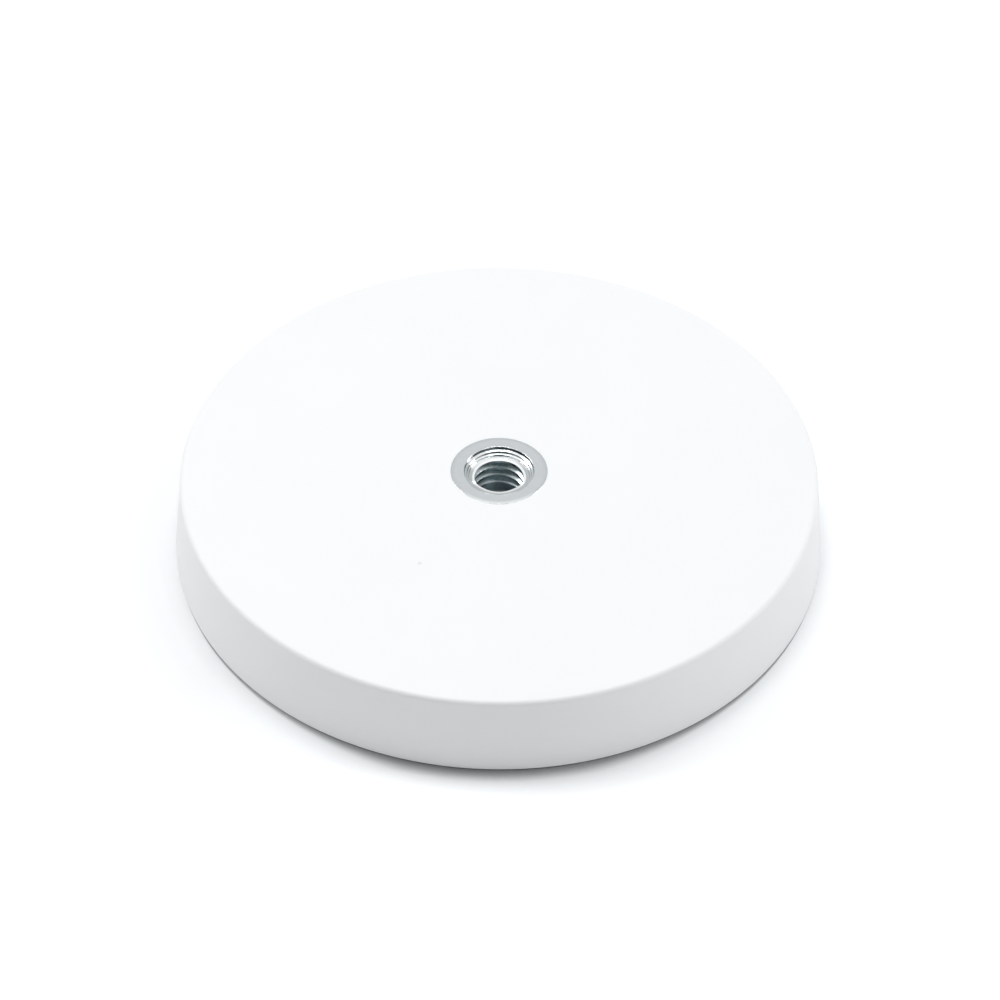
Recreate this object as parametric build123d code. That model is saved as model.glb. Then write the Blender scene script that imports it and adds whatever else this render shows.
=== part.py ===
"""Rubber-jacketed pot magnet with a threaded bush.

A round steel plate carries a ring of disc magnets on its underside and a threaded bush in its
centre. White rubber is moulded round all of it. The part stands on its magnetic face.

Frame: millimetres, +Z up along the thread's axis, origin at the centre of the magnetic face.
"""

from build123d import *

import os
from math import cos, pi, radians, sin, tan

# Rubber jacket
base_diameter = 66.0  # across the foot of the side
side_draft = 5.6  # degrees that the side leans in
rim_radius = 0.6  # rounding of the top edge
foot_bevel = 0.4  # small bevel of the lower edge
face_skin = 0.8  # rubber under the magnets
top_skin = 1.2  # rubber over the plate
side_skin = 1.9  # rubber beside the plate's upper edge

# Steel back plate
plate_thickness = 2.5

# Disc magnets
magnet_count = 12  # an even number, so that their poles can alternate all the way round
magnet_height = 4.0
magnet_inset = 1.3  # from the plate's edge to the nearest point of a magnet
magnet_spacing = 2.5  # least rubber between two magnets

# Threaded bush
thread_diameter = 6.0
thread_pitch = 1.0
mouth_margin = 0.5  # how far the mouth stands outside the thread
countersink_angle = 90.0
ring_width = 1.4  # flat end face that shows round the mouth
collar_ledge = 1.6  # how far the hexagon's flats stand outside the shank
collar_thickness = 1.8
collar_chamfer_angle = 30.0
bush_end_break = 0.4
bush_underskin = 1.3  # rubber under the bush
drill_floor = 0.7  # steel left under the drill's point
drill_point_angle = 118.0

# Levels, from the magnetic face up
plate_bottom = face_skin + magnet_height
plate_top = plate_bottom + plate_thickness
height = plate_top + top_skin
collar_bottom = plate_bottom - collar_thickness

# Side of the jacket. Its straight line meets the face a little outside the base diameter, which
# is measured over the bevelled foot
lean = tan(radians(side_draft))
foot_overhang = foot_bevel * sin(radians(side_draft))
corner_radius = base_diameter / 2 + foot_overhang
top_radius = corner_radius - height * lean
plate_radius = corner_radius - plate_top * lean - side_skin

# Ring of magnets, as large as the plate takes: the centres of two neighbours lie a diameter and
# the spacing apart, and each magnet comes as near to the plate's edge as the inset lets it
half_step_sine = sin(pi / magnet_count)
magnet_reach = plate_radius - magnet_inset
magnet_radius = (magnet_reach * half_step_sine - magnet_spacing / 2) / (1 + half_step_sine)
magnet_ring_radius = magnet_reach - magnet_radius

# Bush, from its thread outwards and from its end face down
tap_radius = (thread_diameter - thread_pitch) / 2
mouth_radius = thread_diameter / 2 + mouth_margin
countersink_depth = (mouth_radius - tap_radius) / tan(radians(countersink_angle / 2))
countersink_bottom = height - countersink_depth
shank_radius = mouth_radius + ring_width
drill_tip = bush_underskin + drill_floor
bore_bottom = drill_tip + tap_radius / tan(radians(drill_point_angle / 2))
collar_inner_radius = shank_radius + collar_ledge
collar_corner_radius = collar_inner_radius / cos(radians(30))
collar_corner_drop = (collar_corner_radius - collar_inner_radius) * tan(radians(collar_chamfer_angle))


def turned(*outline):
    """A solid turned about the thread's axis from a closed outline of (radius, level) points."""
    section = Plane.XZ * make_face(Polyline(*outline, close=True))
    return revolve(section, Axis.Z)


def bush_collar():
    """The collar: a hexagon under the plate, its lower corners turned off at an angle."""
    hexagon = extrude(RegularPolygon(collar_inner_radius, 6, major_radius=False), collar_thickness)
    turning = turned(
        (0, collar_bottom),
        (collar_inner_radius, collar_bottom),
        (collar_corner_radius, collar_bottom + collar_corner_drop),
        (collar_corner_radius, plate_bottom),
        (0, plate_bottom),
    )
    return Pos(0, 0, collar_bottom) * hexagon & turning


def bush_blank():
    """The bush before it is drilled: its shank, flush with the jacket's top, and its collar."""
    shank = turned(
        (0, bush_underskin),
        (shank_radius - bush_end_break, bush_underskin),
        (shank_radius, bush_underskin + bush_end_break),
        (shank_radius, height),
        (0, height),
    )
    return shank + bush_collar()


def bush_hole():
    """What the drill and the countersink take out: the tapping drill's hole and its mouth."""
    return turned(
        (0, drill_tip),
        (tap_radius, bore_bottom),
        (tap_radius, countersink_bottom),
        (mouth_radius, height),
        (0, height),
    )


def plate_blank():
    """The back plate before it is bored: a plain steel disc."""
    return extrude(Plane.XY.offset(plate_bottom) * Circle(plate_radius), plate_thickness)


def magnet_ring():
    """The magnets: plain discs under the plate, one ring of them, the first on the X axis."""
    magnet = extrude(Plane.XY.offset(face_skin) * Circle(magnet_radius), magnet_height)
    return [place * magnet for place in PolarLocations(magnet_ring_radius, magnet_count)]


def jacket_blank():
    """The jacket's outer form: leaning side, rounded rim and a small bevel at the foot."""
    section = make_face(
        Polyline((0, 0), (corner_radius, 0), (top_radius, height), (0, height), close=True)
    )
    rim_corner = section.vertices().group_by(Axis.Y)[-1].sort_by(Axis.X)[-1]
    section = fillet(rim_corner, rim_radius)
    foot_corner = section.vertices().group_by(Axis.Y)[0].sort_by(Axis.X)[-1]
    section = chamfer(foot_corner, foot_bevel)
    return revolve(Plane.XZ * section, Axis.Z)


def save(piece, name):
    """Write one piece to its own file, under the name of its node."""
    piece.label = name
    export_step(piece, f"parts/{name}.step")


os.makedirs("parts", exist_ok=True)

blank = bush_blank()
threaded_bush = blank - bush_hole()
back_plate = plate_blank() - blank
magnets = magnet_ring()

rubber_jacket = jacket_blank() - blank - back_plate
for magnet in magnets:
    rubber_jacket -= magnet

save(rubber_jacket, "rubber_jacket")
save(back_plate, "back_plate")
save(threaded_bush, "threaded_bush")
for number, magnet in enumerate(magnets, start=1):
    save(magnet, f"magnet_{number:02d}")
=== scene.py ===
"""The looks of a rubber-jacketed pot magnet and the studio that it stands in.

Blender add-on layout: settings, one operator for each piece and for the stage, and a sidebar
panel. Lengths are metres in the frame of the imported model, with +Z along the thread's axis.
"""

from math import cos, pi, radians, sin, tan

import bmesh
import bpy
import numpy as np
from bpy.props import FloatProperty, FloatVectorProperty, IntProperty, PointerProperty
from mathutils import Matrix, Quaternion, Vector


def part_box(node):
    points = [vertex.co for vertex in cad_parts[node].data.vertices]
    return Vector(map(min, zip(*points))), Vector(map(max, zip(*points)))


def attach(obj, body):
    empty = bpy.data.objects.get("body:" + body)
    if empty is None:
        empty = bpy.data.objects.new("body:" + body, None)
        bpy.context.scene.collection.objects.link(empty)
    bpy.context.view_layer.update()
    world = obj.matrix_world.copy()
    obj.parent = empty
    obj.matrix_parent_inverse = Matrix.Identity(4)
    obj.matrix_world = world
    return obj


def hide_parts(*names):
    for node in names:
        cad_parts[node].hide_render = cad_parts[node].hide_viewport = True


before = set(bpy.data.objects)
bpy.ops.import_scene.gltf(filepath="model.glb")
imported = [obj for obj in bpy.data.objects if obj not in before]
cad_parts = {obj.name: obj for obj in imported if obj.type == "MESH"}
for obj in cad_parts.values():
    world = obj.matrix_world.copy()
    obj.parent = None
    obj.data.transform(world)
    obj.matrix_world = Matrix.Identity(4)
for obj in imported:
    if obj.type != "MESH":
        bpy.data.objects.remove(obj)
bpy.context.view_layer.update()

bl_info = {
    "name": "Pot Magnet",
    "version": (1, 0, 0),
    "blender": (4, 5, 0),
    "location": "3D View > Sidebar > Pot Magnet",
    "description": "Dresses a rubber-jacketed pot magnet and sets up its studio",
    "category": "Object",
}

MM = 0.001


def corners_of(node):
    """The corners of a CAD node's mesh, one (x, y, z) in each row."""
    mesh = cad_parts[node].data
    corners = np.empty(len(mesh.vertices) * 3, np.float32)
    mesh.vertices.foreach_get("co", corners)
    return corners.reshape(-1, 3)


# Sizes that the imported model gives
jacket_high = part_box("rubber_jacket")[1]
plate_low, plate_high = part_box("back_plate")
magnet_low, magnet_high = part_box("magnet_01")
bush_low, bush_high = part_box("threaded_bush")

base_radius = jacket_high.x
height = jacket_high.z
plate_radius = plate_high.x
plate_bottom = plate_low.z
plate_top = plate_high.z
magnet_names = sorted(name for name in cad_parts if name.startswith("magnet_"))
magnet_radius = (magnet_high.x - magnet_low.x) / 2
magnet_ring_radius = (magnet_high.x + magnet_low.x) / 2
magnet_bottom = magnet_low.z
shank_radius = float(np.hypot(*corners_of("back_plate")[:, :2].T).min())
collar_inner_radius = bush_high.y
bush_bottom = bush_low.z

# Sizes of the bush's hidden lower part, which its well in the jacket repeats
collar_thickness = 1.8 * MM
collar_chamfer = radians(30)
end_break = 0.4 * MM


class JacketSettings(bpy.types.PropertyGroup):
    """Sizes and colours of the rubber jacket."""

    side_draft: FloatProperty(
        name="Side Draft", description="How far the side leans in", default=radians(5.6), subtype="ANGLE"
    )
    rim_radius: FloatProperty(
        name="Rim Radius", description="Rounding of the top edge", default=0.5 * MM, unit="LENGTH"
    )
    foot_radius: FloatProperty(
        name="Foot Radius", description="Rounding of the lower edge", default=0.2 * MM, unit="LENGTH"
    )
    lip_radius: FloatProperty(
        name="Lip Radius",
        description="Rounding of the rubber's edge beside the bush",
        default=0.03 * MM,
        unit="LENGTH",
    )
    steps: IntProperty(name="Steps", description="Faces round the jacket", default=360)
    colour: FloatVectorProperty(
        name="Rubber", description="Colour of the rubber", default=(0.922, 0.935, 0.946), subtype="COLOR"
    )
    # Also the colour of the painted shade that darkens the top towards the far right.
    shade: FloatVectorProperty(
        name="Mottle",
        description="Colour of the fainter patches in the rubber",
        default=(0.896, 0.912, 0.925),
        subtype="COLOR",
    )
    roughness: FloatProperty(
        name="Roughness", description="Roughness of the rubber", default=0.55, subtype="FACTOR"
    )


class BushSettings(bpy.types.PropertyGroup):
    """Sizes and colours of the threaded bush."""

    thread_radius: FloatProperty(
        name="Thread Radius", description="Radius of the thread's root", default=3.0 * MM, unit="LENGTH"
    )
    thread_pitch: FloatProperty(
        name="Thread Pitch", description="Rise of one turn", default=1.0 * MM, unit="LENGTH"
    )
    crest_radius: FloatProperty(
        name="Crest Radius", description="Radius of the tapping drill", default=2.5 * MM, unit="LENGTH"
    )
    mouth_radius: FloatProperty(
        name="Mouth Radius",
        description="Radius of the countersink's mouth",
        default=3.56 * MM,
        unit="LENGTH",
    )
    crest_drop: FloatProperty(
        name="Crest Drop",
        description="Depth of a crest of the thread on the far side of the hole",
        default=1.05 * MM,
        unit="LENGTH",
    )
    lip_rise: FloatProperty(
        name="Lip Rise",
        description="Share of its depth by which the lip rises on the near side",
        default=0.4,
    )
    thread_start: FloatProperty(
        name="Thread Start",
        description="Depth where the thread's groove starts",
        default=1.0 * MM,
        unit="LENGTH",
    )
    thread_grow: FloatProperty(
        name="Thread Grow",
        description="Length along the hole in which the groove gets its full depth",
        default=0.18 * MM,
        unit="LENGTH",
    )
    thread_end: FloatProperty(
        name="Thread End",
        description="Depth where the groove has run out",
        default=4.1 * MM,
        unit="LENGTH",
    )
    thread_fade: FloatProperty(
        name="Thread Fade",
        description="Length along the hole in which the groove runs out",
        default=0.3 * MM,
        unit="LENGTH",
    )
    drill_point: FloatProperty(
        name="Drill Point", description="Depth of the drill's point", default=6.5 * MM, unit="LENGTH"
    )
    drill_angle: FloatProperty(
        name="Drill Angle",
        description="Angle of the drill's point",
        default=radians(118),
        subtype="ANGLE",
    )
    edge_break: FloatProperty(
        name="Edge Break",
        description="Bevel of the end face's outer edge",
        default=0.03 * MM,
        unit="LENGTH",
    )
    step_drops: FloatVectorProperty(
        name="Step Drops",
        description="Depth of each steep step of the countersink, from its mouth down",
        default=(0.32 * MM, 0.21 * MM, 0.17 * MM),
        subtype="XYZ",
        unit="LENGTH",
    )
    step_leans: FloatVectorProperty(
        name="Step Leans",
        description="Angle between each steep step and the axis",
        default=(radians(14), radians(10), radians(10)),
        subtype="EULER",
        unit="ROTATION",
    )
    step_treads: FloatVectorProperty(
        name="Step Treads",
        description="Width of the ledge under each steep step, the last one round the thread",
        default=(0.2 * MM, 0.15 * MM, 0.29 * MM),
        subtype="XYZ",
        unit="LENGTH",
    )
    ledge_falls: FloatVectorProperty(
        name="Ledge Falls",
        description="Angle by which each ledge falls towards the axis",
        default=(radians(25), radians(25), radians(8)),
        subtype="EULER",
        unit="ROTATION",
    )
    mouth_break: FloatProperty(
        name="Mouth Break", description="Rounding of the mouth's edge", default=0.06 * MM, unit="LENGTH"
    )
    steps: IntProperty(name="Steps", description="Faces round the bush", default=240)
    colour: FloatVectorProperty(
        name="Zinc",
        description="Colour of the zinc plating",
        default=(0.585, 0.612, 0.628),
        subtype="COLOR",
    )
    deep_colour: FloatVectorProperty(
        name="Deep Zinc",
        description="Colour of the dull plating down the hole",
        default=(0.45, 0.52, 0.54),
        subtype="COLOR",
    )
    # Painted shade: steep steps are painted this dark colour in place of a dark reflection.
    step_shade_colour: FloatVectorProperty(
        name="Step Zinc",
        description="Colour of the plating on the countersink's steep steps",
        default=(0.32, 0.35, 0.36),
        subtype="COLOR",
    )
    # Painted highlight: ledges are painted this colour, lighter than the plating.
    ledge_highlight_colour: FloatVectorProperty(
        name="Ledge Zinc",
        description="Colour of the plating on the countersink's ledges",
        default=(0.87, 0.89, 0.9),
        subtype="COLOR",
    )
    roughness: FloatProperty(
        name="Roughness", description="Roughness of the plating", default=0.16, subtype="FACTOR"
    )
    deep_roughness: FloatProperty(
        name="Deep Roughness",
        description="Roughness of the plating down the hole",
        default=0.34,
        subtype="FACTOR",
    )


class SteelSettings(bpy.types.PropertyGroup):
    """Colours of the plate and the magnets inside the jacket."""

    plate_colour: FloatVectorProperty(
        name="Plate", description="Colour of the steel plate", default=(0.52, 0.53, 0.54), subtype="COLOR"
    )
    nickel_colour: FloatVectorProperty(
        name="Nickel",
        description="Colour of the magnets' plating",
        default=(0.7, 0.68, 0.63),
        subtype="COLOR",
    )


class StageSettings(bpy.types.PropertyGroup):
    """Camera, floor and lamps."""

    elevation: FloatProperty(
        name="Elevation",
        description="Angle between the camera's line of sight and the floor",
        default=radians(43.09),
        subtype="ANGLE",
    )
    distance: FloatProperty(
        name="Distance",
        description="From the camera to the middle of the top face",
        default=365.4 * MM,
        unit="LENGTH",
    )
    aim: FloatVectorProperty(
        name="Aim",
        description="Point on the level of the top face in the middle of the picture",
        default=(0.11 * MM, -4.3 * MM, height),
        subtype="XYZ",
        unit="LENGTH",
    )
    lens: FloatProperty(name="Lens", description="Focal length in millimetres", default=130.27)
    roll: FloatProperty(
        name="Roll",
        description="Turn of the camera about its line of sight",
        default=radians(0.41),
        subtype="ANGLE",
    )
    floor_radius: FloatProperty(
        name="Floor Radius", description="Radius of the pale floor", default=400 * MM, unit="LENGTH"
    )
    floor_white: FloatProperty(
        name="Floor White", description="Brightness of the lit floor in the picture", default=1.16
    )
    floor_colour: FloatVectorProperty(
        name="Floor",
        description="Colour of the floor in the light that it throws back",
        default=(0.94, 0.94, 0.94),
        subtype="COLOR",
    )
    # Painted shadow: this and the next three settings set the shadow painted into the floor's colour near
    # the foot.
    shadow_white: FloatProperty(
        name="Shadow White", description="Brightness of the floor against the foot", default=0.42
    )
    shadow_reach: FloatProperty(
        name="Shadow Reach",
        description="Part of the dark shadow's reach that is found in front only",
        default=1.05 * MM,
        unit="LENGTH",
    )
    side_shadow_reach: FloatProperty(
        name="Side Shadow Reach",
        description="Part of the dark shadow's reach that goes further round the sides",
        default=0.6 * MM,
        unit="LENGTH",
    )
    haze_reach: FloatProperty(
        name="Haze Reach",
        description="How far the faint shadow all round reaches",
        default=5.0 * MM,
        unit="LENGTH",
    )
    # Painted shadow: this and the next two settings set the even shadow painted on the floor to the left.
    veil_white: FloatProperty(
        name="Veil White", description="Brightness of the floor in the veil on the left", default=0.8
    )
    veil_flat: FloatProperty(
        name="Veil Flat",
        description="How far the veil on the left stays even",
        default=1.5 * MM,
        unit="LENGTH",
    )
    veil_width: FloatProperty(
        name="Veil Width",
        description="How far the veil on the left reaches",
        default=9.0 * MM,
        unit="LENGTH",
    )
    sky: FloatProperty(name="Sky", description="Light from all round", default=0.32)
    lamp_distance: FloatProperty(
        name="Lamp Distance", description="From each lamp to the magnet", default=0.9, unit="LENGTH"
    )
    left_power: FloatProperty(
        name="Left Power", description="Power of the lamp on the left", default=2.65, unit="POWER"
    )
    right_power: FloatProperty(
        name="Right Power", description="Power of the lamp on the right", default=2.35, unit="POWER"
    )
    above_power: FloatProperty(
        name="Above Power", description="Power of the lamp above", default=2.9, unit="POWER"
    )
    front_power: FloatProperty(
        name="Front Power", description="Power of the weak lamp in front", default=0.3, unit="POWER"
    )
    glint_power: FloatProperty(
        name="Glint Power",
        description="Power of the lamp that only shiny surfaces show",
        default=1.7,
        unit="POWER",
    )
    card_colour: FloatVectorProperty(
        name="Card",
        description="Colour of the dark card that the metal shows",
        default=(0.07, 0.1, 0.11),
        subtype="COLOR",
    )


class PotMagnetSettings(bpy.types.PropertyGroup):
    """All the settings of the magnet and its studio."""

    jacket: PointerProperty(type=JacketSettings)
    bush: PointerProperty(type=BushSettings)
    steel: PointerProperty(type=SteelSettings)
    stage: PointerProperty(type=StageSettings)


def unit(vector):
    """A vector of length one in the same direction."""
    return vector / np.linalg.norm(vector)


def rounded_outline(corners, hold=0.12 * MM, pieces=8):
    """Points (radius, level) along an outline given by (radius, level, rounding) at each corner.

    With half the angle between a corner's two sides, the arc starts at rounding / tan(half) from
    the corner, and its centre lies at rounding / sin(half) along the line that halves the angle.
    A point a little way before and after each arc holds the flat shading of the sides.
    """
    corners = np.array(corners, float)
    made = [corners[:1, :2]]
    for before, (radius, level, rounding), after in zip(corners[:-2], corners[1:-1], corners[2:]):
        corner = np.array([radius, level])
        if rounding == 0:
            made.append(corner[None])
            continue
        back = unit(before[:2] - corner)
        ahead = unit(after[:2] - corner)
        half = np.arccos(back @ ahead) / 2
        reach = rounding / tan(half)
        centre = corner + unit(back + ahead) * rounding / sin(half)
        start = corner + back * reach - centre
        end = corner + ahead * reach - centre
        sweep = pi - 2 * half
        part = np.linspace(0, 1, pieces + 1)[:, None]
        arc = centre + (start * np.sin((1 - part) * sweep) + end * np.sin(part * sweep)) / sin(sweep)
        made += [(corner + back * (reach + hold))[None], arc, (corner + ahead * (reach + hold))[None]]
    made.append(corners[-1:, :2])
    return np.concatenate(made)


def rings(radii, levels, steps):
    """Rings round the thread's axis: x = r cos(turn), y = r sin(turn), z = level.

    radii and levels have one row for each ring, which holds one value or a value for each step.
    """
    turn = np.linspace(0, 2 * pi, steps, endpoint=False)
    radii, levels = np.broadcast_arrays(
        np.reshape(radii, (len(radii), -1)), np.reshape(levels, (len(levels), -1)), np.empty((1, steps))
    )[:2]
    return np.stack([radii * np.cos(turn), radii * np.sin(turn), levels], axis=-1)


def closed_shell(name, grids, body="root"):
    """A mesh piece made of grids whose rows close on themselves, joined where they meet.

    Grid point (row, column) is joined to the next row and to the next column, and the last column
    to the first. Points that coincide become one, so that poles and seams are closed.
    """
    points = []
    faces = []
    count = 0
    for grid in grids:
        rows, columns = grid.shape[:2]
        index = count + np.arange(rows * columns).reshape(rows, columns)
        across = np.roll(index, -1, axis=1)
        faces.append(np.stack([index[:-1], across[:-1], across[1:], index[1:]], axis=-1).reshape(-1, 4))
        points.append(grid.reshape(-1, 3))
        count += rows * columns
    mesh = bpy.data.meshes.new(name)
    mesh.from_pydata(np.concatenate(points), [], np.concatenate(faces))
    merged = bmesh.new()
    merged.from_mesh(mesh)
    bmesh.ops.remove_doubles(merged, verts=merged.verts, dist=0.001 * MM)
    bmesh.ops.recalc_face_normals(merged, faces=merged.faces)
    if not all(edge.is_manifold for edge in merged.edges):
        raise RuntimeError(f"{name} isn't closed")
    if merged.calc_volume(signed=True) <= 0:
        raise RuntimeError(f"{name} is inside out")
    merged.to_mesh(mesh)
    merged.free()
    mesh.shade_smooth()
    mesh.set_sharp_from_angle(angle=radians(28))
    piece = bpy.data.objects.new(name, mesh)
    bpy.context.scene.collection.objects.link(piece)
    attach(piece, body)
    return piece


def hexagon_radius(turn):
    """Distance of the collar's flats from the axis: inner radius / cos(turn from the flat)."""
    from_flat = np.mod(turn, pi / 3) - pi / 6
    return collar_inner_radius / np.cos(from_flat)


def collar_rings(steps):
    """Radii and levels of the collar's outside, from the plate down to the shank under it.

    Its lower corners are turned off: level = underside + (radius - inner radius) * tan(chamfer).
    """
    hexagon = hexagon_radius(np.linspace(0, 2 * pi, steps, endpoint=False))
    under = plate_bottom - collar_thickness
    turned_off = under + (hexagon - collar_inner_radius) * tan(collar_chamfer)
    even = np.ones(steps)
    radii = [hexagon, hexagon, collar_inner_radius * even, shank_radius * even]
    levels = [plate_bottom * even, turned_off, under * even, under * even]
    return radii, levels


def shank_end():
    """Radii and levels of the shank's lower end, round its bevelled edge to its middle."""
    radii = [shank_radius, shank_radius - end_break, 0]
    levels = [bush_bottom + end_break, bush_bottom, bush_bottom]
    return radii, levels


def stacked(steps, *runs):
    """Rings from several runs of (radii, levels), one run after the other.

    A run gives one value, or one value for each step, for each of its rings.
    """
    spread = []
    for values in sum(runs, ()):
        spread.append(np.broadcast_to(np.reshape(values, (len(values), -1)), (len(values), steps)))
    return rings(np.concatenate(spread[0::2]), np.concatenate(spread[1::2]), steps)


def magnet_pocket(turn, settings, inner_radius):
    """One magnet's pocket and the face round it, out to a sector of the plate's underside.

    The sector's edge is a loop B. Each of its points looks at the magnet's axis C and meets the
    pocket's edge at C + magnet radius * unit(B - C); the face between is (1 - v) of that point
    plus v of B. The wall goes straight down from the edge, and the end closes on the axis.
    """
    many = settings.steps // len(magnet_names)
    half = pi / len(magnet_names)
    sides = 12  # points along each straight side of the sector
    face_parts = (1, 0.5, 0.08, 0)  # v of the face's rows, close together at the pocket's edge
    across = turn + half * np.linspace(-1, 1, many, endpoint=False)
    along = np.linspace(plate_radius, inner_radius, sides, endpoint=False)
    back = plate_radius + inner_radius - along
    radius = np.concatenate([np.full(many, plate_radius), along, np.full(many, inner_radius), back])
    ahead = np.full(sides, turn + half)
    behind = np.full(sides, turn - half)
    angle = np.concatenate([across, ahead, 2 * turn - across, behind])
    loop = np.stack([radius * np.cos(angle), radius * np.sin(angle)], axis=-1)
    axis = magnet_ring_radius * np.array([cos(turn), sin(turn)])
    outward = loop - axis
    edge = axis + magnet_radius * outward / np.linalg.norm(outward, axis=1, keepdims=True)
    part = np.array(face_parts)[:, None, None]
    face = (1 - part) * edge + part * loop
    flat = np.concatenate([face, edge[None], np.broadcast_to(axis, loop.shape)[None]])
    level = np.array([plate_bottom] * len(face_parts) + [magnet_bottom] * 2)[:, None, None]
    return np.concatenate([flat, np.broadcast_to(level, flat.shape[:2] + (1,))], axis=-1)


def jacket_grids(settings):
    """The jacket's outside, the room for the plate and the bush, and the magnets' pockets.

    The side's line meets the face outside the base radius by rounding * (tan + 1 / cos - 1) of the
    draft, so that the widest place of the rounded foot is the base radius.
    """
    lean = tan(settings.side_draft)
    foot_radius = base_radius + settings.foot_radius * (lean + 1 / cos(settings.side_draft) - 1)
    well_rim = 0.8 * MM  # from the magnets' inmost points in to their sectors' edge
    outside = rounded_outline(
        [
            (0, 0, 0),
            (foot_radius, 0, settings.foot_radius),
            (foot_radius - height * lean, height, settings.rim_radius),
            (shank_radius, height, settings.lip_radius),
            (shank_radius, plate_top, 0),
            (plate_radius, plate_top, 0),
            (plate_radius, plate_bottom, 0),
        ]
    )
    inner_radius = magnet_ring_radius - magnet_radius - well_rim
    collar = collar_rings(settings.steps)
    well = stacked(settings.steps, ([inner_radius], [plate_bottom]), collar, shank_end())
    turns = np.arange(len(magnet_names)) * 2 * pi / len(magnet_names)
    pockets = [magnet_pocket(turn, settings, inner_radius) for turn in turns]
    return [rings(outside[:, 0], outside[:, 1], settings.steps), well, *pockets]


def thread_groove(turn, level, settings):
    """Depth of the thread's groove in the wall of the hole, at a turn and a level.

    Along the axis the groove is a trapezium, whose root is an eighth of the pitch wide between
    flanks at 30 degrees to the radius: depth = full depth + (half the root's width - distance from
    its middle) / tan 30, held between nought and the full depth. It climbs one pitch in each turn,
    right-handed. It grows in under the countersink and runs out towards the thread's end.
    """
    pitch = settings.thread_pitch
    full = settings.thread_radius - settings.crest_radius
    half_root = pitch / 16
    flank = radians(30)
    crest_level = height - settings.crest_drop
    from_crest = (level - crest_level - pitch * (turn - pi / 2) / (2 * pi)) / pitch
    from_root = np.abs(np.mod(from_crest, 1) - 0.5) * pitch
    groove = np.clip((half_root - from_root) / tan(flank) + full, 0, full)
    depth = height - level
    grown = np.clip((depth - settings.thread_start) / settings.thread_grow, 0, 1)
    not_faded = np.clip((settings.thread_end - depth) / settings.thread_fade, 0, 1)
    return groove * grown * not_faded


def countersink_steps(settings):
    """Corners (radius, level, rounding) of the stepped countersink, from its mouth to the thread.

    A steep step goes down by its drop and in by drop * tan(lean). The ledge under it goes in by its
    tread and down by tread * tan(fall).
    """
    inner_rounding = 0.02 * MM
    outer_rounding = 0.03 * MM
    radius = settings.mouth_radius
    level = height
    corners = [(radius, level, settings.mouth_break)]
    steps = zip(settings.step_drops, settings.step_leans, settings.step_treads, settings.ledge_falls)
    for drop, lean, tread, fall in steps:
        radius -= drop * tan(lean)
        level -= drop
        corners.append((radius, level, inner_rounding))
        radius -= tread
        level -= tread * tan(fall)
        corners.append((radius, level, outer_rounding))
    return corners


def lifted(levels, share, turn, settings):
    """Levels in the hole, raised on its near side: depth becomes depth * (1 - rise * near * share).

    near is (-sin(turn) - 0.2) / 0.6, held between nought on the far side and one on the near side.
    """
    near = np.clip((-np.sin(turn) - 0.2) / 0.6, 0, 1)
    return height - (height - levels) * (1 - settings.lip_rise * near * share)


def bush_grid(settings):
    """The bush from the middle of its lower end round the collar and the end face down the hole.

    Below the countersink, the radius is the crest's plus the depth of the thread's groove. The near
    side's lift grows from the mouth's edge inwards, and fades out again down the hole's wall.
    """
    steps = settings.steps
    turn = np.linspace(0, 2 * pi, steps, endpoint=False)
    collar = tuple(values[::-1] for values in collar_rings(steps))
    end = tuple(values[::-1] for values in shank_end())
    edge_rounding = 0.02 * MM
    lip_fall = 0.05 * MM  # from the last ledge down to the hole's wall
    lift_width = 0.5 * MM  # from the mouth's edge in to where the lift is full
    lift_top = 1.0 * MM  # depth down to which the lift is full
    lift_end = 2.0 * MM  # depth where it ends
    rings_in_pitch = 30
    steps_down = countersink_steps(settings)
    face = rounded_outline(
        [
            (shank_radius, plate_bottom, 0),
            (shank_radius, height - settings.edge_break, edge_rounding),
            (shank_radius - settings.edge_break, height, edge_rounding),
            *steps_down,
            (settings.crest_radius, steps_down[-1][1] - lip_fall, 0),
        ],
        hold=0.005 * MM,
        pieces=4,
    )
    inward = np.clip((settings.mouth_radius - face[:, :1]) / lift_width, 0, 1)
    face_levels = lifted(face[:, 1:], inward, turn, settings)
    tip = height - settings.drill_point
    bore_end = tip + settings.crest_radius / tan(settings.drill_angle / 2)
    levels = np.arange(face[-1, 1], bore_end, -settings.thread_pitch / rings_in_pitch)[1:, None]
    above = np.clip((lift_end - (height - levels)) / (lift_end - lift_top), 0, 1)
    wall_levels = lifted(levels, above, turn, settings)
    wall = settings.crest_radius + thread_groove(turn, wall_levels, settings)
    floor = ([settings.crest_radius, 0], [bore_end, tip])
    return stacked(steps, end, collar, (face[:, :1], face_levels), (wall, wall_levels), floor)


def add_node(tree, kind, inputs=None, **options):
    """A shader node with its options set, and its sockets set to values or linked to others."""
    made = tree.nodes.new("ShaderNode" + kind)
    for name, value in options.items():
        setattr(made, name, value)
    for name, value in (inputs or {}).items():
        if isinstance(value, bpy.types.NodeSocket):
            tree.links.new(value, made.inputs[name])
        else:
            made.inputs[name].default_value = value
    return made


def new_material(name, **surface):
    """A material with one Principled shader, whose sockets are given by surface's values."""
    material = bpy.data.materials.new(name)
    material.use_nodes = True
    tree = material.node_tree
    shader = tree.nodes["Principled BSDF"]
    for socket, value in surface.items():
        shader.inputs[socket.replace("_", " ")].default_value = value
    place = add_node(tree, "TexCoord").outputs["Object"]
    return material, tree, shader, place


def colour4(colour):
    """A colour with its alpha."""
    return (*colour, 1.0)


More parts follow.
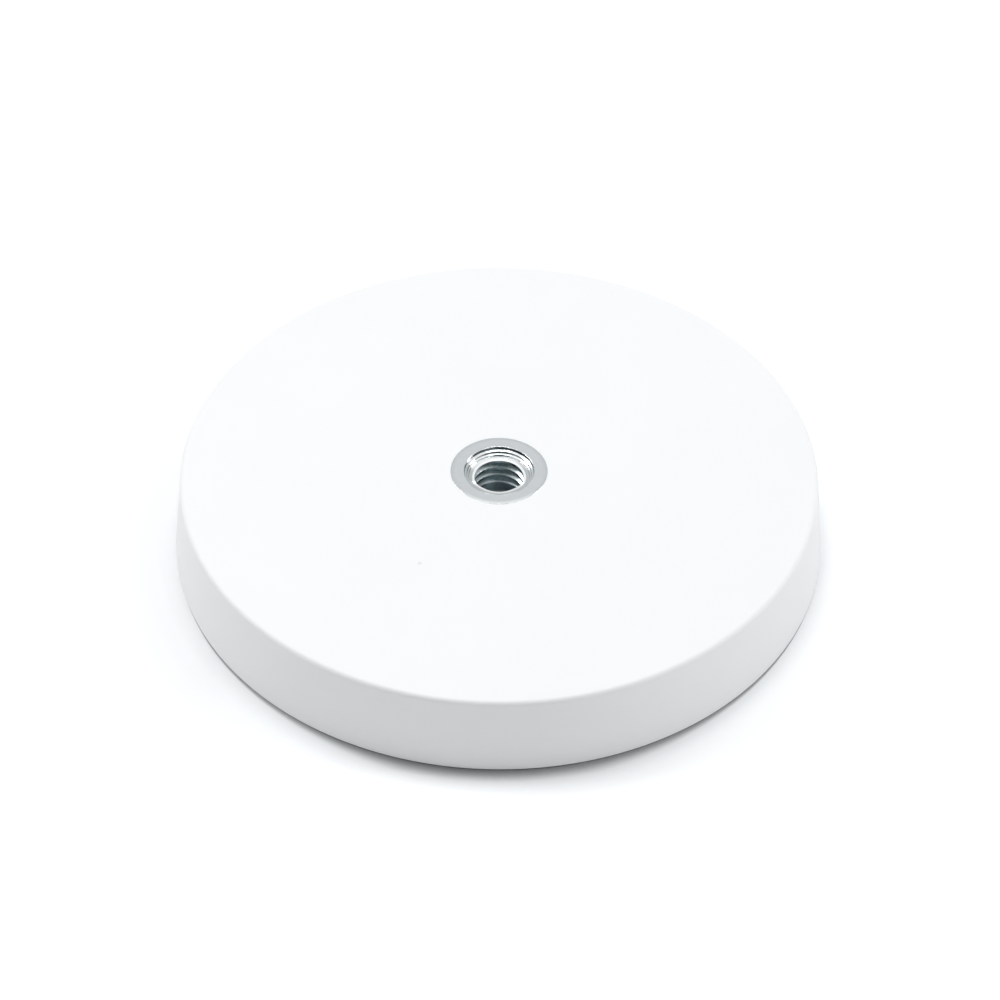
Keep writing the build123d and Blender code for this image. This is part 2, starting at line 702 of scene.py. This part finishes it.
def mixed(tree, factor, first, second):
    """The colour between two colours."""
    node = add_node(tree, "Mix", {"Factor": factor}, data_type="RGBA")
    for socket, value in ((node.inputs[6], first), (node.inputs[7], second)):
        if isinstance(value, bpy.types.NodeSocket):
            tree.links.new(value, socket)
        else:
            socket.default_value = colour4(value)
    return node.outputs[2]


def noise(tree, place, size, detail=2.0):
    """Noise whose features are about as large as size."""
    inputs = {"Vector": place, "Scale": 1 / size, "Detail": detail}
    return add_node(tree, "TexNoise", inputs).outputs["Fac"]


def mapped(tree, value, low, high, first=0.0, second=1.0):
    """The value carried from the range low to high into the range first to second, and held there."""
    limits = {"Value": value, "From Min": low, "From Max": high, "To Min": first, "To Max": second}
    return add_node(tree, "MapRange", limits).outputs["Result"]


def maths(tree, operation, first, second=0.0):
    """The result of one sum on two values, or of a function of the first one."""
    return add_node(tree, "Math", {0: first, 1: second}, operation=operation).outputs["Value"]


def measured(tree, operation, first, second=(0.0, 0.0, 0.0)):
    """The number that a vector sum gives, such as a length, a distance or a dot product."""
    return add_node(tree, "VectorMath", {0: first, 1: second}, operation=operation).outputs["Value"]


def turned_to(tree, flat, azimuth, size=1.0):
    """The cosine of the angle round the axis from an azimuth to a place, times a size."""
    heading = add_node(tree, "VectorMath", {0: flat}, operation="NORMALIZE").outputs["Vector"]
    return measured(tree, "DOT_PRODUCT", heading, (size * cos(azimuth), size * sin(azimuth), 0.0))


def sector(tree, flat, degrees, low, high, first=0.0, second=1.0):
    """A value that goes from first to second as a place turns towards an azimuth.

    low and high are the cosines of the angles to that azimuth where the change starts and ends.
    """
    return mapped(tree, turned_to(tree, flat, radians(degrees)), low, high, first, second)


def bumped(tree, shader, height_value, distance, strength=1.0):
    """Bump on the shader's normal."""
    bump = add_node(tree, "Bump", {"Height": height_value, "Distance": distance, "Strength": strength})
    tree.links.new(bump.outputs["Normal"], shader.inputs["Normal"])


def dress(piece, material):
    """Give the piece one material all over."""
    piece.data.materials.clear()
    piece.data.materials.append(material)


def rubber_material(settings):
    """White rubber: faint cloudy patches, a fine moulded grain and one grey speck.

    The colour goes from the lighter to the darker by the patches plus a painted shade, which grows along
    one way across the top and makes the rubber a little darker towards the far right.
    """
    material, tree, shader, place = new_material("white_rubber", Roughness=settings.roughness, IOR=1.5)
    patches = mapped(tree, noise(tree, place, size=9 * MM), 0.35, 0.65, 0.0, 0.35)
    # Painted shade: the top is painted a little darker towards the far right.
    shade_way = (0.5, 0.87, 0.0)
    shade_half = 30 * MM
    painted_shade = mapped(tree, measured(tree, "DOT_PRODUCT", place, shade_way), -shade_half, shade_half, 0.0, 0.65)
    body = mixed(tree, maths(tree, "ADD", patches, painted_shade), settings.colour, settings.shade)
    speck_place = (-7.75 * MM, -13.4 * MM, height)
    speck_colour = (0.35, 0.35, 0.36)
    speck = mapped(tree, measured(tree, "DISTANCE", place, speck_place), 0.1 * MM, 0.26 * MM, 0.22, 0.0)
    tree.links.new(mixed(tree, speck, body, speck_colour), shader.inputs["Base Color"])
    grain = noise(tree, place, size=0.15 * MM, detail=3.0)
    bumped(tree, shader, grain, distance=0.004 * MM)
    return material


def face_colour(tree, place, across, radius, settings):
    """Colour of the bush's end face: cloudy, with an outer edge painted lighter on the near side as a
    painted highlight, and a little darker on the far side.
    """
    cloud_colour = (0.45, 0.48, 0.5)
    far_edge_colour = (0.53, 0.56, 0.58)
    near_edge_highlight = (0.8, 0.83, 0.84)
    cloud = mapped(tree, noise(tree, place, size=1.2 * MM, detail=3.0), 0.3, 0.7, 0.0, 0.12)
    clouded = mixed(tree, cloud, settings.colour, cloud_colour)
    # Painted highlight: the outer edge is painted lighter on the near side.
    near_side = mapped(tree, across, -2.6 * MM, -4.4 * MM)
    painted_edge_light = mixed(tree, near_side, far_edge_colour, near_edge_highlight)
    outer_edge = mapped(tree, radius, shank_radius - 0.5 * MM, shank_radius - 0.1 * MM)
    return mixed(tree, outer_edge, clouded, painted_edge_light)


def mouth_colour(tree, flat, radius, upward, settings):
    """Colour of the countersink, painted: light ledges as painted highlights, and steep steps painted
    dark in places.

    The steps are painted dark by sectors round the axis, as painted reflections that stand in for what
    real plating mirrors. The first step is dark but for the left of its far side, and the later ones are
    dark on the far side, the left and the right. Outside the lip's bright line the ledges are streaked on
    the far side and painted dull on the others, also as painted reflections. On the near side they are
    painted a little dull up to the lip's edge.
    """
    ledge_shade_colour = (0.45, 0.48, 0.49)
    mouth = settings.mouth_radius
    first_step = mapped(tree, radius, mouth - 0.2 * MM, mouth - 0.12 * MM)
    # Painted reflections: the steep steps are painted dark by sectors round the axis.
    first_dark = sector(tree, flat, 126, 0.82, 0.94, 1.0, 0.1)
    far_dark = sector(tree, flat, 90, 0.86, 0.97, 0.15, 0.9)
    left_dark = sector(tree, flat, 185, 0.75, 0.95, 0.0, 1.0)
    right_dark = sector(tree, flat, -5, 0.8, 0.97, 0.0, 0.8)
    later_dark = maths(tree, "MAXIMUM", maths(tree, "MAXIMUM", far_dark, left_dark), right_dark)
    step_dark = mapped(tree, first_step, 0.0, 1.0, later_dark, first_dark)
    # Painted light and shade: steep faces take the dark step colour and ledges the light ledge colour.
    steep = mapped(tree, upward, 0.75, 0.3)

    streak_radius = maths(tree, "MULTIPLY", radius, 9.0)
    streak_place = add_node(tree, "CombineXYZ", {"X": streak_radius, "Y": turned_to(tree, flat, 0.0, MM)})
    streak_noise = noise(tree, streak_place.outputs["Vector"], size=1.0 * MM, detail=3.0)
    streaks = mapped(tree, streak_noise, 0.35, 0.65, 0.0, 0.45)
    # Painted reflections: the ledges are painted dull by sectors round the axis, and streaked on the far
    # side.
    far_ledge_shade = sector(tree, flat, 100, 0.75, 0.15, streaks, 0.95)
    side_ledge_shade = sector(tree, flat, 195, 0.75, 0.95, far_ledge_shade, 1.3)
    outside_lip = mapped(tree, radius, mouth - 0.88 * MM, mouth - 0.78 * MM)
    near_ledge_shade = sector(tree, flat, 270, 0.4, 0.85, 0.0, 0.35)
    ledge_shade = maths(tree, "MAXIMUM", maths(tree, "MULTIPLY", side_ledge_shade, outside_lip), near_ledge_shade)
    ledge = mixed(tree, ledge_shade, settings.ledge_highlight_colour, ledge_shade_colour)
    return mixed(tree, maths(tree, "MULTIPLY", steep, step_dark), ledge, settings.step_shade_colour)


def hole_colour(tree, place, flat, level, settings):
    """Colour of the hole: dull and flecked, painted lighter downwards as painted light, and painted dark
    on the left and at the bottom as painted shade.
    """
    lower_light_colour = (0.72, 0.8, 0.82)
    fleck_colour = (0.85, 0.89, 0.9)
    left_shade_colour = (0.2, 0.24, 0.25)
    bottom_shade_colour = (0.16, 0.19, 0.2)
    # Painted light: the hole's wall is painted lighter downwards.
    below = mapped(tree, level, height - 1.8 * MM, height - 4.4 * MM)
    wall = mixed(tree, below, settings.deep_colour, lower_light_colour)
    flecks = mapped(tree, noise(tree, place, size=0.4 * MM, detail=4.0), 0.54, 0.68, 0.0, 0.75)
    flecked = mixed(tree, flecks, wall, fleck_colour)
    # Painted shade: the left of the hole is painted darker.
    left_shade = sector(tree, flat, 170, 0.6, 0.95, 0.0, 0.7)
    shaded = mixed(tree, left_shade, flecked, left_shade_colour)
    # Painted shade: the bottom of the hole is painted darker.
    bottom = mapped(tree, level, height - 4.9 * MM, height - 5.0 * MM)
    return mixed(tree, bottom, shaded, bottom_shade_colour)


def zinc_material(settings):
    """Zinc plating: bluish, with fine turning marks about the axis, and duller down the hole.

    The turning marks are a sine of the distance from the axis. The colours of the end face, the
    countersink and the hole meet at the mouth's edge and a little below the countersink. These colours
    hold painted highlights, painted reflections and painted shade.
    """
    material, tree, shader, place = new_material("zinc_plate", Metallic=1.0)
    along, across, level = add_node(tree, "SeparateXYZ", {"Vector": place}).outputs
    flat = add_node(tree, "CombineXYZ", {"X": along, "Y": across}).outputs["Vector"]
    radius = measured(tree, "LENGTH", flat)
    facing = add_node(tree, "TexCoord").outputs["Normal"]
    upward = add_node(tree, "SeparateXYZ", {"Vector": facing}).outputs["Z"]

    face = face_colour(tree, place, across, radius, settings)
    mouth = mouth_colour(tree, flat, radius, upward, settings)
    hole = hole_colour(tree, place, flat, level, settings)
    in_mouth = mapped(tree, radius, settings.mouth_radius + 0.02 * MM, settings.mouth_radius)
    in_hole = mapped(tree, level, height - 1.0 * MM, height - 1.3 * MM)
    top = mixed(tree, in_mouth, face, mouth)
    tree.links.new(mixed(tree, in_hole, top, hole), shader.inputs["Base Color"])

    uneven = mapped(tree, noise(tree, place, size=0.5 * MM, detail=3.0), 0.3, 0.7, -0.04, 0.06)
    even = mapped(tree, in_hole, 0.0, 1.0, settings.roughness, settings.deep_roughness)
    tree.links.new(maths(tree, "ADD", even, uneven), shader.inputs["Roughness"])
    mark_spacing = 0.11 * MM
    marks = maths(tree, "SINE", maths(tree, "MULTIPLY", radius, 2 * pi / mark_spacing))
    bumped(tree, shader, marks, distance=0.0006 * MM)
    return material


def plate_material(settings):
    """Sheared steel plate: a rolled grain along one way and cloudy patches."""
    material, tree, shader, place = new_material("plate_steel", Metallic=1.0)
    stretched = add_node(tree, "Mapping", {"Vector": place, "Scale": (0.06, 1.0, 1.0)}).outputs["Vector"]
    grain = noise(tree, stretched, size=0.2 * MM, detail=3.0)
    patches = mapped(tree, noise(tree, place, size=6 * MM), 0.3, 0.7, 0.0, 0.3)
    darker = [0.7 * part for part in settings.plate_colour]
    tree.links.new(mixed(tree, patches, settings.plate_colour, darker), shader.inputs["Base Color"])
    tree.links.new(mapped(tree, grain, 0.3, 0.7, 0.28, 0.42), shader.inputs["Roughness"])
    bumped(tree, shader, grain, distance=0.003 * MM)
    return material


def nickel_material(settings):
    """Nickel plating on the magnets: bright, warm, with a faint orange-peel surface."""
    material, tree, shader, place = new_material("magnet_nickel", Metallic=1.0)
    patches = mapped(tree, noise(tree, place, size=3 * MM), 0.3, 0.7, 0.0, 0.2)
    darker = [0.85 * part for part in settings.nickel_colour]
    tree.links.new(mixed(tree, patches, settings.nickel_colour, darker), shader.inputs["Base Color"])
    tree.links.new(mapped(tree, patches, 0.0, 0.2, 0.12, 0.2), shader.inputs["Roughness"])
    peel = noise(tree, place, size=0.4 * MM)
    bumped(tree, shader, peel, distance=0.002 * MM)
    return material


def direction(azimuth, elevation):
    """The unit vector at an azimuth from +X and an elevation above the floor."""
    return Vector((cos(elevation) * cos(azimuth), cos(elevation) * sin(azimuth), sin(elevation)))


def add_lamp(name, place, size, power):
    """A soft rectangular lamp that shines at the origin and isn't seen itself."""
    light = bpy.data.lights.new(name, "AREA")
    light.shape = "RECTANGLE"
    light.size, light.size_y = size
    light.energy = power
    lamp = bpy.data.objects.new(name, light)
    lamp.location = place
    lamp.rotation_mode = "QUATERNION"
    lamp.rotation_quaternion = (-place).to_track_quat("-Z", "Y")
    lamp.visible_camera = False
    bpy.context.scene.collection.objects.link(lamp)
    return lamp


def seen_as_background(tree):
    """One for rays from the camera, in reflections and through glass, and nought for light."""
    path = add_node(tree, "LightPath").outputs
    seen = maths(tree, "MAXIMUM", path["Is Camera Ray"], path["Is Glossy Ray"])
    return maths(tree, "MAXIMUM", seen, path["Is Transmission Ray"])


def make_world(settings):
    """Soft light from all round, which is white where it is seen."""
    world = bpy.data.worlds.new("studio")
    world.use_nodes = True
    tree = world.node_tree
    bright = mapped(tree, seen_as_background(tree), 0.0, 1.0, settings.sky, 1.0)
    tree.links.new(bright, tree.nodes["Background"].inputs["Strength"])
    tree.nodes["Background"].inputs["Color"].default_value = (1, 1, 1, 1)
    bpy.context.scene.world = world


def open_sky(tree, reach):
    """The part of the sky over a place that nothing hides within a reach."""
    return add_node(tree, "AmbientOcclusion", {"Distance": reach}, samples=6).outputs["AO"]


def floor_material(settings):
    """Pale floor: white in the picture where it is lit, and painted darker only near the object.

    On top of the lamps' own shadows, shadow is painted into the floor's colour. With s = -y / radius of
    the foot, held between nought and one, the dark painted shadow shows the part of the sky that the
    object hides within shadow reach * s^6 + side reach * s^2. The haze is a painted shadow too, a power
    of the part that stays open within a longer reach, and the power grows with s^6. On the left, an even
    painted shadow that fades outwards takes the haze's place.
    """
    material = bpy.data.materials.new("floor_white")
    material.use_nodes = True
    tree = material.node_tree
    tree.nodes.clear()
    place = add_node(tree, "TexCoord").outputs["Object"]
    across = add_node(tree, "SeparateXYZ", {"Vector": place}).outputs["Y"]
    front = mapped(tree, across, 0.0, -base_radius)
    foremost = maths(tree, "POWER", front, 6.0)
    front_reach = maths(tree, "MULTIPLY", foremost, settings.shadow_reach)
    side_reach = maths(tree, "MULTIPLY", maths(tree, "POWER", front, 2.0), settings.side_shadow_reach)
    # Painted shadow: the floor's colour is painted dark close in front of the foot.
    shadow = open_sky(tree, maths(tree, "ADD", front_reach, side_reach))
    contact = mapped(tree, shadow, 0.7, 1.0, settings.shadow_white, 1.0)
    haze_power = mapped(tree, foremost, 0.0, 1.0, 0.3, 1.1)
    # Painted shadow: a faint haze is painted round the foot.
    haze = maths(tree, "POWER", open_sky(tree, settings.haze_reach), haze_power)
    veil_start = base_radius + settings.veil_flat
    veil_end = base_radius + settings.veil_width
    radius = measured(tree, "LENGTH", place)
    # Painted shadow: an even grey is painted on the floor to the left, lighter outwards.
    veil_shadow = mapped(tree, radius, veil_start, veil_end, settings.veil_white, 1.0)
    on_left = sector(tree, place, 190, 0.64, 0.9)
    shade = maths(tree, "MULTIPLY", contact, mapped(tree, on_left, 0.0, 1.0, haze, veil_shadow))
    black = (0.0, 0.0, 0.0)
    cool_tint = (0.985, 1.0, 1.015)
    white = mixed(tree, shade, black, [settings.floor_white * part for part in cool_tint])
    colour = mixed(tree, seen_as_background(tree), settings.floor_colour, white)
    diffuse = add_node(tree, "BsdfDiffuse", {"Color": colour})
    add_node(tree, "OutputMaterial", {"Surface": diffuse.outputs["BSDF"]})
    return material


def make_floor(settings):
    """A round flat floor about the magnet's axis."""
    many = 9
    steps = 64
    grid = rings(settings.floor_radius * np.linspace(0, 1, many), np.zeros(many), steps)
    index = np.arange(many * steps).reshape(many, steps)
    across = np.roll(index, -1, axis=1)
    faces = np.stack([index[:-1], index[1:], across[1:], across[:-1]], axis=-1).reshape(-1, 4)
    mesh = bpy.data.meshes.new("floor")
    mesh.from_pydata(grid.reshape(-1, 3), [], faces)
    floor = bpy.data.objects.new("floor", mesh)
    bpy.context.scene.collection.objects.link(floor)
    dress(floor, floor_material(settings))


def make_lamps(settings):
    """The lamps, all at one distance: azimuth and elevation in degrees, size and power."""
    lamps = {
        "lamp_left": (152, 43, (0.35, 0.3), settings.left_power),
        "lamp_right": (7, 28, (0.35, 0.3), settings.right_power),
        "lamp_above": (90, 80, (0.4, 0.25), settings.above_power),
        "lamp_front": (-90, 12, (0.35, 0.2), settings.front_power),
        "lamp_glint": (160, 47, (0.2, 0.2), settings.glint_power),
    }
    made = {}
    for name, (azimuth, elevation, size, power) in lamps.items():
        place = settings.lamp_distance * direction(radians(azimuth), radians(elevation))
        made[name] = add_lamp(name, place, size, power)
    made["lamp_front"].visible_glossy = False
    made["lamp_glint"].visible_diffuse = False


def make_card(settings):
    """A dark card behind and above the camera, which only shiny surfaces show."""
    low = Vector((0, -0.62, -0.02))
    high = Vector((0, -0.14, 0.62))
    half = Vector((0.26, 0, 0))
    mesh = bpy.data.meshes.new("card")
    mesh.from_pydata([low - half, low + half, high + half, high - half], [], [(0, 1, 2, 3)])
    material = bpy.data.materials.new("card_dark")
    material.use_nodes = True
    tree = material.node_tree
    tree.nodes.clear()
    glow = add_node(tree, "Emission", {"Color": colour4(settings.card_colour)})
    add_node(tree, "OutputMaterial", {"Surface": glow.outputs["Emission"]})
    card = bpy.data.objects.new("card", mesh)
    bpy.context.scene.collection.objects.link(card)
    dress(card, material)
    card.visible_camera = False
    card.visible_diffuse = False
    card.visible_shadow = False


def make_camera(settings):
    """The camera at the photograph's distance, elevation and roll."""
    data = bpy.data.cameras.new("camera")
    data.lens = settings.lens
    data.sensor_width = 36.0
    data.clip_start = 10 * MM
    camera = bpy.data.objects.new("camera", data)
    back = Vector((0, -cos(settings.elevation), sin(settings.elevation)))
    camera.location = Vector((0, 0, height)) + back * settings.distance
    camera.rotation_mode = "QUATERNION"
    look = (Vector(settings.aim) - camera.location).to_track_quat("-Z", "Y")
    camera.rotation_quaternion = look @ Quaternion((0, 0, 1), settings.roll)
    bpy.context.scene.collection.objects.link(camera)
    bpy.context.scene.camera = camera


class POT_MAGNET_OT_add_jacket(bpy.types.Operator):
    """Make the rubber jacket with its pockets, in place of the plain one"""

    bl_idname = "pot_magnet.add_jacket"
    bl_label = "Add Rubber Jacket"

    def execute(self, context):
        settings = context.scene.pot_magnet.jacket
        jacket = closed_shell("jacket", jacket_grids(settings))
        dress(jacket, rubber_material(settings))
        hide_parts("rubber_jacket")
        return {"FINISHED"}


class POT_MAGNET_OT_add_bush(bpy.types.Operator):
    """Make the bush with its thread cut, in place of the plain one"""

    bl_idname = "pot_magnet.add_bush"
    bl_label = "Add Threaded Bush"

    def execute(self, context):
        settings = context.scene.pot_magnet.bush
        bush = closed_shell("bush", [bush_grid(settings)])
        dress(bush, zinc_material(settings))
        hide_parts("threaded_bush")
        return {"FINISHED"}


class POT_MAGNET_OT_finish_plate(bpy.types.Operator):
    """Give the back plate its rolled steel finish"""

    bl_idname = "pot_magnet.finish_plate"
    bl_label = "Finish Back Plate"

    def execute(self, context):
        dress(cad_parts["back_plate"], plate_material(context.scene.pot_magnet.steel))
        return {"FINISHED"}


class POT_MAGNET_OT_finish_magnets(bpy.types.Operator):
    """Give the disc magnets their nickel finish"""

    bl_idname = "pot_magnet.finish_magnets"
    bl_label = "Finish Magnets"

    def execute(self, context):
        material = nickel_material(context.scene.pot_magnet.steel)
        for name in magnet_names:
            dress(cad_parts[name], material)
        return {"FINISHED"}


class POT_MAGNET_OT_set_stage(bpy.types.Operator):
    """Set up the floor, the lamps, the world and the camera"""

    bl_idname = "pot_magnet.set_stage"
    bl_label = "Set Up Studio"

    def execute(self, context):
        settings = context.scene.pot_magnet.stage
        make_world(settings)
        make_floor(settings)
        make_camera(settings)
        make_lamps(settings)
        make_card(settings)
        context.scene.view_settings.view_transform = "Standard"
        return {"FINISHED"}


class POT_MAGNET_PT_sidebar(bpy.types.Panel):
    """Buttons and settings in the 3D view's sidebar"""

    bl_idname = "POT_MAGNET_PT_sidebar"
    bl_label = "Pot Magnet"
    bl_space_type = "VIEW_3D"
    bl_region_type = "UI"
    bl_category = "Pot Magnet"

    def draw(self, context):
        for operator in operators:
            self.layout.operator(operator.bl_idname)
        magnet = context.scene.pot_magnet
        for group in (magnet.jacket, magnet.bush, magnet.steel, magnet.stage):
            box = self.layout.box()
            for name in group.__annotations__:
                box.prop(group, name)


operators = (
    POT_MAGNET_OT_add_jacket,
    POT_MAGNET_OT_add_bush,
    POT_MAGNET_OT_finish_plate,
    POT_MAGNET_OT_finish_magnets,
    POT_MAGNET_OT_set_stage,
)
setting_groups = (JacketSettings, BushSettings, SteelSettings, StageSettings, PotMagnetSettings)


def register():
    for made in (*setting_groups, *operators, POT_MAGNET_PT_sidebar):
        bpy.utils.register_class(made)
    bpy.types.Scene.pot_magnet = PointerProperty(type=PotMagnetSettings)


def unregister():
    del bpy.types.Scene.pot_magnet
    for made in reversed((*setting_groups, *operators, POT_MAGNET_PT_sidebar)):
        bpy.utils.unregister_class(made)


def main():
    """Register the classes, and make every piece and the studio."""
    register()
    bpy.ops.pot_magnet.add_jacket()
    bpy.ops.pot_magnet.add_bush()
    bpy.ops.pot_magnet.finish_plate()
    bpy.ops.pot_magnet.finish_magnets()
    bpy.ops.pot_magnet.set_stage()


if __name__ == "__main__":
    main()
